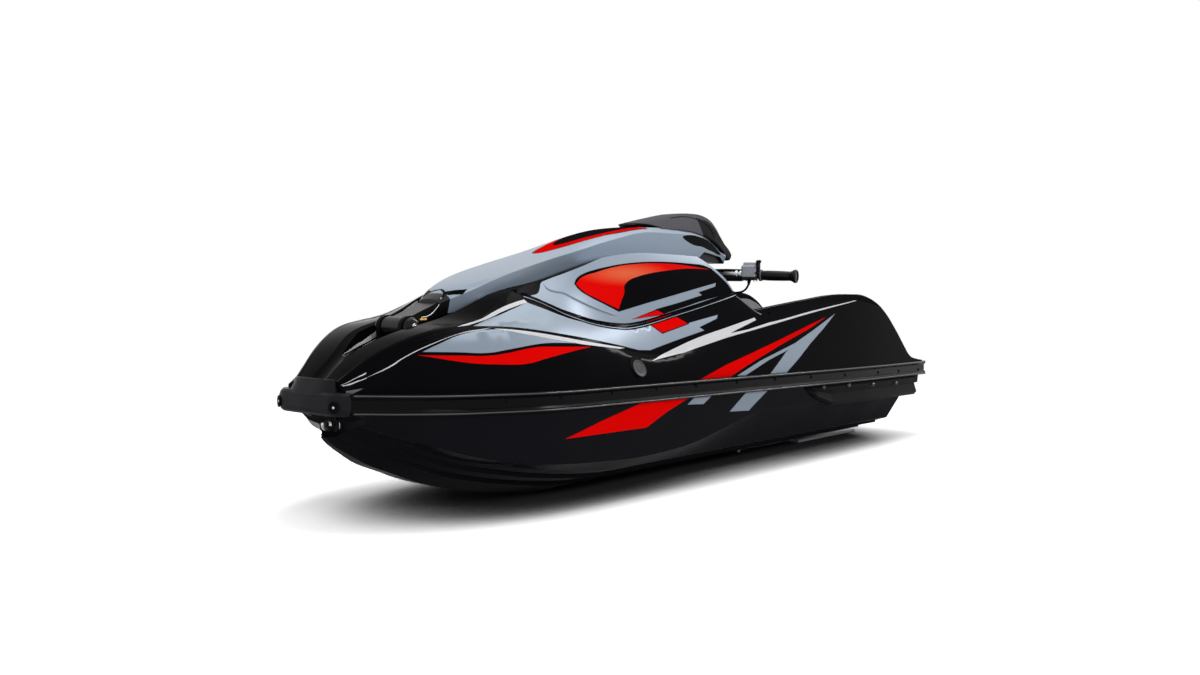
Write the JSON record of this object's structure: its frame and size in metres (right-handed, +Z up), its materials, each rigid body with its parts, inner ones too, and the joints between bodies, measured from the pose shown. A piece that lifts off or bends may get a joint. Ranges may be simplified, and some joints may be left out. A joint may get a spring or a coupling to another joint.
{
  "type": "stand-up personal watercraft",
  "caption": "Decked stand-up personal watercraft with a swinging handle pole, turning handlebar, standing tray, jet pump and steering nozzle.",
  "frame": {"origin": "on the floor under the middle of the length, at the bottom centre of the bounding box", "axes": "+X to the bow, +Y to port, +Z up"},
  "size_m": [2.655, 0.7652, 0.8382],
  "materials": {
    "gelcoat_black": "high-gloss black hull and deck finish with red, silver and white stripes",
    "paint_silver": "gloss metallic silver-blue with red and black panels",
    "rubber_black": "satin black moulded rubber",
    "plastic_black": "satin black moulded plastic",
    "foam_grey": "ribbed grey foam mat",
    "pad_grey": "matte dark grey skinned foam",
    "grip_rubber": "black rubber grip",
    "housing_grey": "light grey moulded plastic",
    "bar_metal": "satin alloy tube",
    "steel": "brushed stainless steel",
    "cast_alloy": "cast alloy",
    "engine_grey": "plain engine block"
  },
  "bodies": {
    "craft": {"hull": "gelcoat_black", "deck": "gelcoat_black", "engine_hood": "paint_silver", "rub_rail_port": "rubber_black", "rub_rail_starboard": "rubber_black", "bow_bumper": "rubber_black", "foot_mat": "foam_grey", "gunwale_mat_port": "foam_grey", "gunwale_mat_starboard": "foam_grey", "sponson_port": "plastic_black", "sponson_starboard": "plastic_black", "bow_eye": "steel", "stern_eye": "steel", "drain_plugs": "plastic_black", "exhaust_outlet": "rubber_black", "outlet_cap_port": "plastic_black", "outlet_cap_starboard": "plastic_black", "engine_block": "engine_grey", "pole_bracket": "plastic_black", "pivot_pin": "steel", "pump_housing": "cast_alloy", "stator": "cast_alloy", "shaft_bearing": "cast_alloy", "intake_grate": "cast_alloy", "ride_plate": "cast_alloy"},
    "pole": {"handle_pole": "paint_silver", "pole_insert_port": "plastic_black", "pole_insert_starboard": "plastic_black", "chin_pad": "pad_grey"},
    "bars": {"steering_post": "steel", "handlebar": "bar_metal", "bar_clamp": "plastic_black", "grip_port": "grip_rubber", "grip_starboard": "grip_rubber", "switch_housing": "housing_grey", "throttle_housing": "plastic_black", "throttle_lever": "plastic_black", "switch_cable": "rubber_black", "throttle_cable": "rubber_black"},
    "nozzle": {"steering_nozzle": "cast_alloy"},
    "impeller": {"impeller": "steel", "drive_shaft": "steel"}
  },
  "joints": [
    {"name": "pole_raise", "type": "hinge", "parent": "craft", "child": "pole", "pos_m": [1.035, 0, 0.494], "axis": [0, 1, 0], "range_deg": [0, 65]},
    {"name": "bar_turn", "type": "hinge", "parent": "pole", "child": "bars", "pos_m": [-0.292, 0, 0.628], "axis": [0.1392, 0, 0.9903], "range_deg": [-28, 28]},
    {"name": "nozzle_steer", "type": "hinge", "parent": "craft", "child": "nozzle", "pos_m": [-1.186, 0, 0.112], "axis": [0, 0, 1], "range_deg": [-22.4, 22.4]},
    {"name": "impeller_spin", "type": "hinge", "parent": "craft", "child": "impeller", "pos_m": [-0.85, 0, 0.112], "axis": [1, 0, 0], "continuous": true}
  ],
  "couplings": [
    {"joint": "nozzle_steer", "follows": "bar_turn", "ratio": -0.8}
  ]
}
